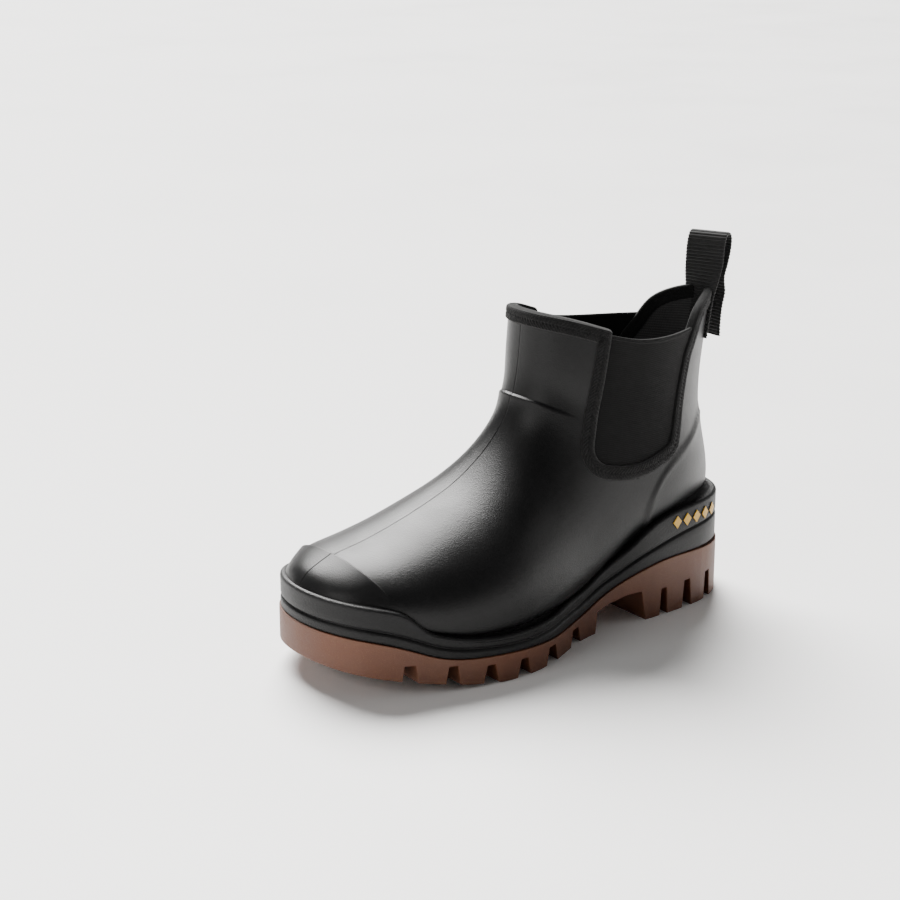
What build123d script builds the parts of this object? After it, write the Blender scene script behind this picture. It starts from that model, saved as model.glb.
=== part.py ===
"""Ankle-high pull-on rubber rain boot for the left foot.

The boot is a moulded upper with a knitted lining, two elastic gussets, a bound edge and a webbing
pull loop, on a black midsole with a tall heel and a brown lugged outsole.

Axes: +X is the outer side of the foot, -Y the toe, +Z up. Sizes are in millimetres.
The shape is drawn with the middle of the shaft at x = 0 and is moved at the end, so that the
origin is the middle of the bounding box, on the ground.
"""
from build123d import *
from math import cos, pi, sin
import os

# Driving sizes
wall = 3.2                  # moulded upper
lining_thick = 1.2          # knitted lining
tape_thick = 1.1            # bound edge, each side
tape_width = 8.5            # bound edge, as seen from outside
upper_under_tape = 3.0      # how far the upper's cut edge lies inside the tape's outer edge
elastic_inset = 1.0         # the elastic lies this far under the upper's outer face
webbing_width = 25.0
webbing_thick = 1.6
strap_clearance = 0.2       # between the tape and the strap legs
foam_thick = 4.0            # insole
cover_thick = 0.7
insole_edge_gap = 1.9       # between the insole and the lining
seam_width = 16.0           # tape over the lining's back seam
seam_thick = 0.6
seam_bottom = 66.0
seam_top = 152.0
gap = 0.3                   # between pieces that move apart
reach = 110.0               # half width of the cutting prisms
column_height = 90.0        # taller than the sole
centre_shift = (-7.3, -25.3, 0.0)

# Faces inside the wall, as distances from the upper's outer face
lining_face = -wall - lining_thick
tape_inside = lining_face - tape_thick
strap_outside = tape_thick + strap_clearance
strap_inside = tape_inside - strap_clearance / 2

# Sole outline in plan, from the toe round the outer side to the heel and back
SOLE_OUTLINE = [
    (0, -130.5), (20.5, -127.5), (39, -118), (52.5, -102), (62, -79.5), (68, -52), (69.5, -24),
    (64, 0), (52, 25), (45.5, 50), (46.5, 80), (45.5, 110), (41, 136), (27, 157), (0, 166.5),
    (-23, 157), (-36, 136), (-39, 112), (-38, 88), (-36, 60), (-38.5, 34), (-45.5, 8), (-52, -18),
    (-55, -46), (-54.5, -72), (-49.5, -98), (-38, -116), (-20.5, -127),
]

# Lines in side view, as (y, z) from toe to heel
SOLE_TOP = [(-140, 36), (-115, 33.3), (-98, 29), (-77, 20.8), (-54, 17), (-20, 15.3), (15, 13.6),
            (35, 15.5), (50, 21), (72, 29), (95, 34), (115, 34.8), (180, 34)]
GROOVE = [(-140, 42.5), (-115, 39.7), (-98, 35.5), (-77, 26.8), (-54, 22.2), (-20, 20.2), (15, 20.8),
          (35, 22.5), (48, 27.3), (63, 33), (80, 39.8), (95, 44), (115, 48), (180, 49)]
RAND_TOP = [(-140, 56), (-121, 53.3), (-106, 50.8), (-95, 46.8), (-84, 37), (-75, 33), (-54, 28.2),
            (-25, 26.5), (0, 26.7), (25, 28.3), (37, 30.2), (50, 36.5), (72, 47.5), (86, 56),
            (102, 61.7), (115, 63.4), (180, 63.5)]
TOE_SPRING = [(-140, 19), (-115, 13.2), (-88, 8), (-65, 3.6), (-45, 0.8), (-34, 0)]
FOOTBED = [(-140, 49), (-100, 41.5), (-62, 30), (-38, 27.5), (0, 27), (30, 28.5), (62, 33.5),
           (105, 43), (130, 45.5), (180, 46)]
ARCH = [(45.5, 0), (47, 13), (58, 16.2), (70, 18.5), (80, 18.5), (83.5, 0)]
HEEL_CORNER = [(157, 0), (165.5, 3.5), (180, 30)]
lower_band_inset = 0.8      # of the midsole from the outsole's edge
upper_band_inset = 0.9
groove_inset = 2.0
half_groove = 0.7

# Notches between the lugs: (y at the ground, width at the ground, width at the top, height)
FOREFOOT_NOTCHES = [(-93.5, 10.7, 5.5, 18.5), (-70.3, 10.1, 5.0, 15.2), (-47.5, 10.6, 4.8, 11.8),
                    (-25.2, 10.0, 4.6, 10.4), (-1.5, 11.3, 6.0, 10.3), (25.7, 11.5, 5.5, 9.8)]
HEEL_NOTCHES = [(98.1, 6.5, 4.0, 16.6), (118.0, 8.2, 4.6, 17.2), (138.5, 6.7, 4.2, 17.0)]
notch_depth = 17.0
tread_height = 9.5          # clear height over the sunken middle of the tread
tread_rim = 21.0            # width of the lugs from the edge to the sunken middle
FOREFOOT_CHEVRONS = [-84, -61, -38, -15, 8, 28]
HEEL_CHEVRONS = [108, 130]
forefoot_end = 39.0         # rear end of the sunken forefoot
heel_recess = (92.0, 147.0)

# Cross-sections of the upper, from the toe tip to above the collar. Each lies in the plane that
# holds the X axis direction and the line from its near point (vamp) to its far point (sole, heel).
# near (y, z), far (y, z), outer half width, inner half width, place of the widest point along
# the line, roundness near, roundness far, and how much the far side narrows.
SECTIONS = [
    ((-125.5, 57.0), (-125.5, 37.0), 17, 17, 0.50, 2.0, 2.5, 0.0),
    ((-121.0, 61.5), (-121.0, 36.5), 28, 27, 0.56, 2.0, 3.0, 0.0),
    ((-113.0, 65.3), (-113.0, 38.5), 38, 36, 0.65, 2.1, 3.5, 0.0),
    ((-101.0, 69.0), (-101.0, 35.0), 47, 44.5, 0.66, 2.2, 4.0, 0.0),
    ((-86.0, 72.0), (-86.0, 28.5), 55, 49.5, 0.68, 2.2, 4.0, 0.0),
    ((-62.0, 78.7), (-62.0, 22.0), 61.5, 51, 0.72, 2.2, 4.0, 0.0),
    ((-38.0, 87.3), (-38.0, 19.5), 64.5, 51, 0.74, 2.2, 4.0, 0.0),
    ((-20.0, 95.8), (-10.0, 19.0), 63, 48.5, 0.74, 2.2, 3.6, 0.0),
    ((-3.0, 108.0), (27.0, 20.0), 54, 43, 0.70, 2.2, 3.2, 0.0),
    ((9.0, 120.3), (62.0, 25.5), 47, 39, 0.62, 2.2, 2.8, 0.0),
    ((15.5, 130.5), (103.0, 35.0), 45.5, 38, 0.55, 2.2, 2.5, 0.1),
    ((18.6, 139.5), (146.0, 39.5), 45, 38, 0.48, 2.3, 2.3, 0.2),
    ((20.5, 148.0), (165.0, 68.0), 44, 38, 0.45, 2.3, 2.1, 0.3),
    ((22.0, 158.0), (160.0, 108.0), 42.5, 38, 0.42, 2.3, 2.0, 0.4),
    ((23.2, 170.0), (162.5, 148.0), 41, 38, 0.40, 2.3, 2.0, 0.45),
    ((24.0, 182.0), (168.0, 180.0), 40, 38, 0.40, 2.3, 2.0, 0.45),
    ((24.6, 196.0), (171.0, 200.0), 39.5, 38, 0.40, 2.3, 2.0, 0.45),
]
toe_stations = 4            # stations whose planes step back when the surface is moved inward
points_each_side = 12

# Gusset opening in side view: outer edge of the tape, as corners with their radii
GUSSET_CORNERS = [(58.0, 210.0), (34.0, 96.5), (75.0, 87.5), (108.5, 98.0), (156.0, 210.0)]
GUSSET_RADII = [19.0, 60.0, 17.0]

# Collar line in side view: front panel, over the gusset, back panel
COLLAR_FRONT = [(0, 189.5), (24, 188), (40, 184.3), (56, 179)]
COLLAR_BACK = [(133, 166.5), (140, 175), (150, 180.5), (185, 184.5)]
ELASTIC_TOP = [(30, 179.5), (54, 176.5), (75, 171), (95, 168.3), (133, 167), (150, 166.5)]

# Webbing pull loop
strap_tail_z = 154.0
strap_top_z = 185.3
loop_axis_z = 190.0
loop_axis_y = 165.0
loop_height = 27.0
loop_half_gap_low = 2.2
loop_half_gap_high = 4.6
loop_lean = 18.0            # degrees, backward
loop_turn = 15.0            # degrees about the vertical

# Raised marks on the outer side of the heel
mark_count = 5
mark_first_y = 108.0
mark_pitch = 8.6
mark_width = 7.0
mark_height = 8.0
mark_z = 55.8
mark_raise = 0.7


def outline_face(inset=0.0):
    """Plan outline of the sole at z = 0, moved inward by inset."""
    rim = Spline(SOLE_OUTLINE, periodic=True)
    if inset == 0:
        return make_face(rim)
    count = 2 * len(SOLE_OUTLINE)
    moved = []
    for i in range(count):
        here = rim @ (i / count)
        along = rim % (i / count)
        moved.append((here.X - inset * along.Y, here.Y + inset * along.X))
    return make_face(Spline(moved, periodic=True))


def side_points(points, lift=0.0):
    return [(0, y, z + lift) for y, z in points]


def side_prism(low_edges, high_edges):
    """Prism across the boot between two chains of side-view edges that run from toe to heel."""
    start = Line(low_edges[0] @ 0, high_edges[0] @ 0)
    end = Line(low_edges[-1] @ 1, high_edges[-1] @ 1)
    face = make_face([*low_edges, *high_edges, start, end])
    return extrude(face, amount=reach, dir=(1, 0, 0), both=True)


def slab(low, high):
    """Prism across the boot between two smooth side-view lines."""
    return side_prism([Spline(low)], [Spline(high)])


def band(inset, low, high):
    """Piece of the sole's outline prism, moved inward by inset, between two side-view lines."""
    column = extrude(outline_face(inset), amount=column_height)
    return column & slab(low, high)


def section_wire(near, far, outer, inner, middle, near_round, far_round, narrowing, grow, back):
    """One closed cross-section of the upper, moved outward by grow and backward by back."""
    start = Vector(0, near[0] + back, near[1])
    line = Vector(0, far[0] + back, far[1]) - start
    length = line.length
    along = line.normalized()
    widest = middle * length
    sides = []
    for width, side in ((outer + grow, 1), (inner + grow, -1)):
        points = []
        for i in range(points_each_side + 1):
            angle = pi * i / points_each_side
            c = cos(angle)
            power = 2 / (far_round if c > 0 else near_round)
            depth = (length - widest if c > 0 else widest) + grow
            v = widest + depth * abs(c) ** power * (1 if c > 0 else -1)
            taper = 1 - narrowing * c * c if c > 0 else 1
            u = side * width * abs(sin(angle)) ** power * taper
            points.append(start + along * v + Vector(u, 0, 0))
        even = [i / points_each_side for i in range(points_each_side + 1)]
        far_pull = Vector(points[1].X * points_each_side, 0, 0)
        near_pull = Vector(-points[-2].X * points_each_side, 0, 0)
        sides.append(Edge.make_spline(points, [far_pull, near_pull], parameters=even, scale=False))
    return Wire(sides)


def upper_solid(grow):
    """Solid inside the upper's outer surface moved outward by grow."""
    wires = []
    for i, section in enumerate(SECTIONS):
        back = -grow * max(0, 1 - i / toe_stations)
        wires.append(section_wire(*section, grow, back))
    return Solid.make_loft(reversed(wires))


def gusset_prism(inset):
    """U-shaped prism through both gusset openings, open upward, moved inward by inset."""
    outline = FilletPolyline(side_points(GUSSET_CORNERS), radius=GUSSET_RADII)
    face = make_face([outline, Line(outline @ 0, outline @ 1)])
    if inset:
        face = offset(face, amount=-inset)
    return extrude(face, amount=reach, dir=(1, 0, 0), both=True)


def below_collar(lift):
    """Everything under the collar line, moved up by lift."""
    front = Spline(side_points(COLLAR_FRONT, lift))
    back = Spline(side_points(COLLAR_BACK, lift))
    floor = Line((0, COLLAR_FRONT[0][0] - 200, -10), (0, COLLAR_BACK[-1][0] + 20, -10))
    nose = Line((0, COLLAR_FRONT[0][0] - 200, 189), front @ 0)
    tail = Line(back @ 1, (0, COLLAR_BACK[-1][0] + 20, 184.5 + lift))
    return side_prism([floor], [nose, front, Line(front @ 1, back @ 0), back, tail])


def block(low, high):
    """Box between two corners."""
    size = [b - a for a, b in zip(low, high)]
    return Pos(*low) * Box(*size, align=(Align.MIN, Align.MIN, Align.MIN))


def half(shape, outer):
    """The outer or the inner side of a shape."""
    low = 0 if outer else -reach
    return shape & block((low, -200, -20), (low + reach, 220, 240))


def make_outsole(upper_outside):
    """Brown outsole with toe spring, side notches, arch and a sunken tread with chevrons."""
    low = [Spline(side_points(TOE_SPRING)), Line((0, *TOE_SPRING[-1]), (0, *ARCH[0])),
           Polyline(side_points(ARCH)), Line((0, *ARCH[-1]), (0, *HEEL_CORNER[0])),
           Spline(side_points(HEEL_CORNER))]
    column = extrude(outline_face(), amount=column_height)
    sole = column & side_prism(low, [Spline(side_points(SOLE_TOP))])
    bars = [notch_bar(*notch) for notch in FOREFOOT_NOTCHES + HEEL_NOTCHES]
    core = extrude(outline_face(notch_depth), amount=column_height)
    sole -= [bar - core for bar in bars]
    return sole - tread_recess() - upper_outside


def notch_bar(y, low_width, top_width, height):
    """Bar across the boot with the section of one notch."""
    corners = [(y - low_width / 2, -1), (y - top_width / 2, height),
               (y + top_width / 2, height), (y + low_width / 2, -1)]
    face = make_face(Polyline(side_points(corners), close=True))
    return extrude(face, amount=reach, dir=(1, 0, 0), both=True)


def tread_recess():
    """Sunken middle of the tread, in the forefoot and the heel, without its chevrons."""
    heel_deeper = 4
    chevron_inset = 5
    spring = [Spline(side_points(TOE_SPRING, tread_height)),
              Line((0, TOE_SPRING[-1][0], tread_height), (0, forefoot_end, tread_height))]
    floor = Line((0, TOE_SPRING[0][0], -5), (0, forefoot_end, -5))
    middle = extrude(outline_face(tread_rim), amount=column_height)
    forefoot = side_prism([floor], spring) & middle
    heel = block((-reach, heel_recess[0], -5), (reach, heel_recess[1], tread_height + heel_deeper)) & middle
    chevrons = [chevron(y) for y in FOREFOOT_CHEVRONS + HEEL_CHEVRONS]
    core = extrude(outline_face(tread_rim + chevron_inset), amount=column_height)
    return (forefoot + heel) - [shape & core for shape in chevrons]


def chevron(y):
    """One arrow-shaped lug in the middle of the tread, pointing to the toe."""
    arm = 45
    low = y - 4
    high = y + 16
    thick = 9
    points = [(-arm, high), (0, low), (arm, high), (arm, high + thick), (0, low + thick), (-arm, high + thick)]
    return extrude(make_face(Polyline(points, close=True)), amount=column_height)


def make_midsole(upper_outside):
    """Black midsole: two bands with a groove between them, cupped to take the upper."""
    under = side_points(GROOVE, -half_groove)
    over = side_points(GROOVE, half_groove)
    lower_band = band(lower_band_inset, side_points(SOLE_TOP), under)
    groove_floor = band(groove_inset, under, over)
    upper_band = band(upper_band_inset, over, side_points(RAND_TOP))
    return (lower_band + groove_floor + upper_band) - upper_outside


def make_heel_marks():
    """Row of plain raised diamonds on the outer side of the heel band."""
    proud = extrude(outline_face(upper_band_inset - mark_raise), amount=column_height)
    skin = proud - extrude(outline_face(upper_band_inset), amount=column_height)
    marks = []
    for i in range(mark_count):
        y = mark_first_y + i * mark_pitch
        corners = [(y - mark_width / 2, mark_z), (y, mark_z + mark_height / 2),
                   (y + mark_width / 2, mark_z), (y, mark_z - mark_height / 2)]
        face = make_face(Polyline(side_points(corners), close=True))
        marks.append(skin & extrude(face, amount=reach, dir=(1, 0, 0)))
    return Compound([solid for mark in marks for solid in mark.solids() if solid.center().X > 0])


def make_gusset(layer, outer):
    """Elastic panel in one opening, its margin tucked under the tape."""
    top = side_prism([Line((0, 0, 0), (0, 180, 0))],
                     [Line((0, 0, 180), (0, *ELASTIC_TOP[0])), Spline(side_points(ELASTIC_TOP)),
                      Line((0, *ELASTIC_TOP[-1]), (0, 180, 166))])
    panel = layer & gusset_prism(upper_under_tape + 0.2) & top
    return half(panel, outer)


def make_pull_loop():
    """Free bight of the pull loop, drawn upright on its axis, then leaned back and turned."""
    low = loop_half_gap_low
    high = loop_half_gap_high
    outer = loop_outline(low + webbing_thick, high + webbing_thick, loop_height)
    inner = loop_outline(low, high, loop_height - webbing_thick)
    bight = extrude(outer - inner, amount=webbing_width / 2, dir=(1, 0, 0), both=True)
    posed = Rot(0, 0, loop_turn) * Rot(-loop_lean, 0, 0) * bight
    return Pos(0, loop_axis_y, loop_axis_z) * posed


def loop_outline(low, high, height):
    """Arch-shaped face, low half width at the axis and high half width under the round top."""
    start = 0.8
    shoulder = height - high
    left = Line((0, -low, start), (0, -high, shoulder))
    crown = ThreePointArc((0, -high, shoulder), (0, 0, height), (0, high, shoulder))
    right = Line((0, high, shoulder), (0, low, start))
    return make_face([left, crown, right, Line((0, low, start), (0, -low, start))])


def strap_leg(skins, face):
    """Flat end of the webbing, sewn on the back of the shaft with its inner side at face."""
    column = block((-webbing_width / 2, 130, strap_tail_z), (webbing_width / 2, 190, strap_top_z))
    return (skins[face + webbing_thick] - skins[face]) & column


def make_edge_tape(skins, covered):
    """Tape folded round the edge of the upper, down to the gussets' bottoms and over the collar."""
    middle_of_panels = below_collar(-tape_width) - gusset_prism(0)
    edge = below_collar(0) - gusset_prism(tape_width) - middle_of_panels
    return ((skins[tape_thick] - skins[tape_inside]) & edge) - covered


def write_parts():
    seam_face = lining_face - seam_thick
    insole_side = lining_face - insole_edge_gap
    faces = [0, -elastic_inset, -wall, lining_face, tape_thick, tape_inside, insole_side, seam_face,
             strap_outside, strap_outside + webbing_thick, strap_inside, strap_inside - webbing_thick]
    skins = {grow: upper_solid(grow) for grow in faces}
    outside = skins[0]
    inside = skins[-wall]
    lined = skins[lining_face]
    trimmed = below_collar(-tape_thick) - gusset_prism(upper_under_tape)
    elastic = skins[-elastic_inset] - inside
    parts = {}
    parts["outsole"] = make_outsole(outside)
    parts["midsole"] = make_midsole(outside)
    parts["heel_marks"] = make_heel_marks()
    parts["upper"] = (outside - inside) & trimmed
    parts["lining"] = (inside - lined) & trimmed
    parts["gusset_outer"] = make_gusset(elastic, True)
    parts["gusset_inner"] = make_gusset(elastic, False)
    covered = [parts[name] for name in ("upper", "lining", "gusset_outer", "gusset_inner")]
    parts["edge_tape"] = make_edge_tape(skins, covered)

    ground = Line((0, FOOTBED[0][0], 0), (0, FOOTBED[-1][0], 0))
    parts["footbed_board"] = lined & side_prism([ground], [Spline(side_points(FOOTBED))])
    foam_top = gap + foam_thick
    foam = slab(side_points(FOOTBED, gap), side_points(FOOTBED, foam_top))
    cover = slab(side_points(FOOTBED, foam_top), side_points(FOOTBED, foam_top + cover_thick))
    parts["insole_foam"] = skins[insole_side] & foam
    parts["insole_cover"] = skins[insole_side] & cover

    legs = [strap_leg(skins, strap_outside), strap_leg(skins, strap_inside - webbing_thick)]
    parts["strap_legs"] = Compound([solid for leg in legs for solid in leg.solids()])
    parts["pull_loop"] = make_pull_loop()
    seam = block((-seam_width / 2, 120, seam_bottom), (seam_width / 2, 190, seam_top))
    parts["back_seam_tape"] = (lined - skins[seam_face]) & seam

    os.makedirs("parts", exist_ok=True)
    for name, shape in parts.items():
        export_step(Pos(*centre_shift) * shape, f"parts/{name}.step")
        print(name, len(shape.solids()), "solids", round(shape.volume), "mm3")


write_parts()
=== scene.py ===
"""Looks of an ankle-high pull-on rubber rain boot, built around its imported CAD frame.

The moulded upper, the rand, the bound edge, the elastic, the lining, the webbing loop and the
insole are fine meshes of their own; the outsole and the heel marks are the CAD solids with
rounded edges. Shapes are worked out in millimetres with the middle of the shaft at x = 0, as in
the CAD source, and to_frame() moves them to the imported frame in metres.
"""
import bmesh
import bpy
import numpy as np
from math import cos, pi, radians, sin, tan
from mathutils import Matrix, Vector


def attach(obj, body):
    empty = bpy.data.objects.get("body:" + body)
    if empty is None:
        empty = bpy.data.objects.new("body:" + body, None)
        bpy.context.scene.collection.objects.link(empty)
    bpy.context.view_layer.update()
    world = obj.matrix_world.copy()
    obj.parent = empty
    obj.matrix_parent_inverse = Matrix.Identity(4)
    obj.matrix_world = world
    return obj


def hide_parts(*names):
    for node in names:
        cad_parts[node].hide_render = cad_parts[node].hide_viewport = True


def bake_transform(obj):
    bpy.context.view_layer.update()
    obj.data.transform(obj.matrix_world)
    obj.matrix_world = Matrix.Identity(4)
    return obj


MM = 0.001
SAME_PLACE = 2e-6           # metres between points that are joined
CENTRE_SHIFT = np.array([-7.3, -25.3, 0.0])

# Layers of the wall, as distances from the upper's outer face (outward is positive)
WALL = 3.2
LINING = 1.2
LINING_FACE = -WALL - LINING
TAPE = 1.1
TAPE_WIDTH = 8.5
UPPER_UNDER_TAPE = 3.0
ELASTIC_FACE = -1.0
WEBBING_WIDTH = 25.0
WEBBING = 1.6

# Cross-sections of the upper from the toe tip to above the collar: near point (y, z) on the vamp,
# far point (y, z) at the sole or heel, outer and inner half width, place of the widest point,
# roundness near, roundness far, and how much the far side narrows
SECTIONS = np.array([
    (-125.5, 57.0, -125.5, 37.0, 17, 17, 0.50, 2.0, 2.5, 0.0),
    (-121.0, 61.5, -121.0, 36.5, 28, 27, 0.56, 2.0, 3.0, 0.0),
    (-113.0, 65.3, -113.0, 38.5, 38, 36, 0.65, 2.1, 3.5, 0.0),
    (-101.0, 69.0, -101.0, 35.0, 47, 44.5, 0.66, 2.2, 4.0, 0.0),
    (-86.0, 72.0, -86.0, 28.5, 55, 49.5, 0.68, 2.2, 4.0, 0.0),
    (-62.0, 78.7, -62.0, 22.0, 61.5, 51, 0.72, 2.2, 4.0, 0.0),
    (-38.0, 87.3, -38.0, 19.5, 64.5, 51, 0.74, 2.2, 4.0, 0.0),
    (-20.0, 95.8, -10.0, 19.0, 63, 48.5, 0.74, 2.2, 3.6, 0.0),
    (-3.0, 108.0, 27.0, 20.0, 54, 43, 0.70, 2.2, 3.2, 0.0),
    (9.0, 120.3, 62.0, 25.5, 47, 39, 0.62, 2.2, 2.8, 0.0),
    (15.5, 130.5, 103.0, 35.0, 45.5, 38, 0.55, 2.2, 2.5, 0.1),
    (18.6, 139.5, 146.0, 39.5, 45, 38, 0.48, 2.3, 2.3, 0.2),
    (20.5, 148.0, 165.0, 68.0, 44, 38, 0.45, 2.3, 2.1, 0.3),
    (22.0, 158.0, 160.0, 108.0, 42.5, 38, 0.42, 2.3, 2.0, 0.4),
    (23.2, 170.0, 162.5, 148.0, 41, 38, 0.40, 2.3, 2.0, 0.45),
    (24.0, 182.0, 168.0, 180.0, 40, 38, 0.40, 2.3, 2.0, 0.45),
    (24.6, 196.0, 171.0, 200.0, 39.5, 38, 0.40, 2.3, 2.0, 0.45),
], float)
LAST_STATION = len(SECTIONS) - 1
TOE_STATIONS = 4            # stations that step back when the surface is moved inward
SHAFT_FROM = 8.0            # first station of the shaft

# Sole outline in plan, from the toe round the outer side to the heel and back
SOLE_OUTLINE = np.array([
    (0, -130.5), (20.5, -127.5), (39, -118), (52.5, -102), (62, -79.5), (68, -52), (69.5, -24),
    (64, 0), (52, 25), (45.5, 50), (46.5, 80), (45.5, 110), (41, 136), (27, 157), (0, 166.5),
    (-23, 157), (-36, 136), (-39, 112), (-38, 88), (-36, 60), (-38.5, 34), (-45.5, 8), (-52, -18),
    (-55, -46), (-54.5, -72), (-49.5, -98), (-38, -116), (-20.5, -127),
], float)

# Side-view lines, as (y, z) from toe to heel
SOLE_TOP = [(-140, 36), (-115, 33.3), (-98, 29), (-77, 20.8), (-54, 17), (-20, 15.3), (15, 13.6),
            (35, 15.5), (50, 21), (72, 29), (95, 34), (115, 34.8), (180, 34)]
GROOVE = [(-140, 42.5), (-115, 39.7), (-98, 35.5), (-77, 26.8), (-54, 22.2), (-20, 20.2), (15, 20.8),
          (35, 22.5), (48, 27.3), (63, 33), (80, 39.8), (95, 44), (115, 48), (180, 49)]
RAND_TOP = [(-140, 56), (-121, 53.3), (-106, 50.8), (-95, 46.8), (-84, 37), (-75, 33), (-54, 28.2),
            (-25, 26.5), (0, 26.7), (25, 28.3), (37, 30.2), (50, 36.5), (72, 47.5), (86, 56),
            (102, 61.7), (115, 63.4), (180, 63.5)]
FOOTBED = [(-140, 49), (-100, 41.5), (-62, 30), (-38, 27.5), (0, 27), (30, 28.5), (62, 33.5),
           (105, 43), (130, 45.5), (180, 46)]
COLLAR_FRONT = [(0, 189.5), (24, 188), (40, 184.3), (56, 179)]
COLLAR_BACK = [(133, 166.5), (140, 175), (150, 180.5), (185, 184.5)]
ELASTIC_TOP = [(30, 179.5), (54, 176.5), (75, 171), (95, 168.3), (133, 167), (150, 166.5)]
HEEL_COUNTER = [(172, 112.5), (156, 111.5), (146, 109.5), (134, 105.5), (122, 102), (113, 98.8),
                (104, 94), (97, 89), (91, 82.5), (87, 75), (84.8, 67), (84.5, 58), (86, 48)]

# Gusset opening in side view: outer edge of the tape, as corners with their radii
GUSSET_CORNERS = [(58.0, 210.0), (34.0, 96.5), (75.0, 87.5), (108.5, 98.0), (156.0, 210.0)]
GUSSET_RADII = [19.0, 60.0, 17.0]


# ---- curves and surfaces

def spline(knots, values, at):
    """Natural cubic spline through the values at the knots, read at the places at."""
    knots, values, at = (np.asarray(a, float) for a in (knots, values, at))
    count = len(knots)
    step = np.diff(knots)
    system = np.eye(count)
    right = np.zeros_like(values)
    for i in range(1, count - 1):
        system[i, i - 1:i + 2] = step[i - 1], 2 * (step[i - 1] + step[i]), step[i]
        rise_after = (values[i + 1] - values[i]) / step[i]
        rise_before = (values[i] - values[i - 1]) / step[i - 1]
        right[i] = 6 * (rise_after - rise_before)
    bend = np.linalg.solve(system, right)
    i = np.clip(np.searchsorted(knots, at, side="right") - 1, 0, count - 2)
    shape = (-1,) + (1,) * (values.ndim - 1)
    width = step[i].reshape(shape)
    left = knots[i + 1].reshape(shape) - at.reshape(shape)
    right = at.reshape(shape) - knots[i].reshape(shape)
    return (bend[i] * left**3 + bend[i + 1] * right**3) / (6 * width) \
        + (values[i] / width - bend[i] * width / 6) * left \
        + (values[i + 1] / width - bend[i + 1] * width / 6) * right


def running_length(line):
    """Length along a polyline up to each of its points."""
    return np.concatenate([[0], np.cumsum(np.linalg.norm(np.diff(line, axis=0), axis=1))])


def unit(vectors):
    return vectors / np.linalg.norm(vectors, axis=1)[:, None]


def curve(points, count=600):
    """Smooth dense line through points, evenly spaced along its length."""
    points = np.asarray(points, float)
    knots = running_length(points)
    dense = spline(knots, points, np.linspace(0, knots[-1], 4 * count))
    return resample(dense, count)


def resample(line, count):
    """The same line with evenly spaced points."""
    length = running_length(line)
    even = np.linspace(0, length[-1], count)
    return np.stack([np.interp(even, length, line[:, k]) for k in range(line.shape[1])], -1)


def height_line(points):
    """Function that gives z on a smooth side-view line at y."""
    line = curve(points)
    return lambda y: np.interp(y, line[:, 0], line[:, 1])


def smooth(x):
    """Smooth step from 0 to 1 as x goes from 0 to 1."""
    x = np.clip(x, 0, 1)
    return x * x * (3 - 2 * x)


def section_at(t):
    """Cross-section at the stations t."""
    return spline(np.arange(LAST_STATION + 1), SECTIONS, t)


def surface(t, angle, grow=0.0):
    """Points of the upper's outer face moved outward by grow. t counts stations from the toe;
    angle is 0 at the sole and heel, pi on the vamp, and rises through the outer side."""
    t, angle, grow = np.broadcast_arrays(t, angle, grow)
    shape = t.shape
    t, angle, grow = t.ravel(), angle.ravel(), grow.ravel()
    row = section_at(t)
    near, line = row[:, 0:2], row[:, 2:4] - row[:, 0:2]
    length = np.linalg.norm(line, axis=1)
    outer, inner, middle, near_round, far_round, narrowing = row[:, 4:].T
    c, s = np.cos(angle), np.sin(angle)
    low = c > 0
    power = 2 / np.where(low, far_round, near_round)
    widest = middle * length
    depth = np.where(low, length - widest, widest) + grow
    v = widest + depth * np.abs(c)**power * np.sign(c)
    taper = np.where(low, 1 - narrowing * c * c, 1)
    x = np.sign(s) * (np.where(s > 0, outer, inner) + grow) * np.abs(s)**power * taper
    back = -grow * np.clip(1 - t / TOE_STATIONS, 0, 1)
    yz = near + line / length[:, None] * v[:, None]
    return np.stack([x, yz[:, 0] + back, yz[:, 1]], -1).reshape(shape + (3,))


def station_of(points, first=0.0):
    """Station whose section plane holds each point."""
    stations = np.linspace(first, LAST_STATION, 400)
    row = section_at(stations)
    line = row[:, 2:4] - row[:, 0:2]
    away = points[:, None, 1:] - row[None, :, 0:2]
    side = line[None, :, 0] * away[..., 1] - line[None, :, 1] * away[..., 0]
    change = (side[:, :-1] <= 0) != (side[:, 1:] <= 0)
    i = np.where(change.any(1), change.argmax(1), len(stations) - 2)
    k = np.arange(len(points))
    share = side[k, i] / (side[k, i] - side[k, i + 1])
    return stations[i] + np.clip(share, 0, 1) * (stations[1] - stations[0])


def on_shaft(points, grow=0.0):
    """Points near the shaft moved onto its surface, grow outside the upper's outer face."""
    t = station_of(points, SHAFT_FROM)
    row = section_at(t)
    line = row[:, 2:4] - row[:, 0:2]
    length = np.linalg.norm(line, axis=1)
    outer, inner, middle, near_round, far_round, narrowing = row[:, 4:].T
    v = ((points[:, 1:] - row[:, 0:2]) * line).sum(1) / length
    widest = middle * length
    low = v > widest
    half_power = np.where(low, far_round, near_round) / 2
    c = np.clip(np.abs(v - widest) / np.where(low, length - widest, widest), 0, 2)**half_power
    c = np.where(low, c, -c)
    width = np.where(points[:, 0] > 0, outer, inner)
    angle = np.arctan2(0.5, c)
    for _ in range(6):
        taper = np.where(low, 1 - narrowing * np.cos(angle)**2, 1)
        s = (np.abs(points[:, 0]) / (width * taper))**half_power
        angle = np.arctan2(s, c)
    angle = np.where(points[:, 0] > 0, angle, 2 * pi - angle)
    return surface(t, angle, grow), t, angle


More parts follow.
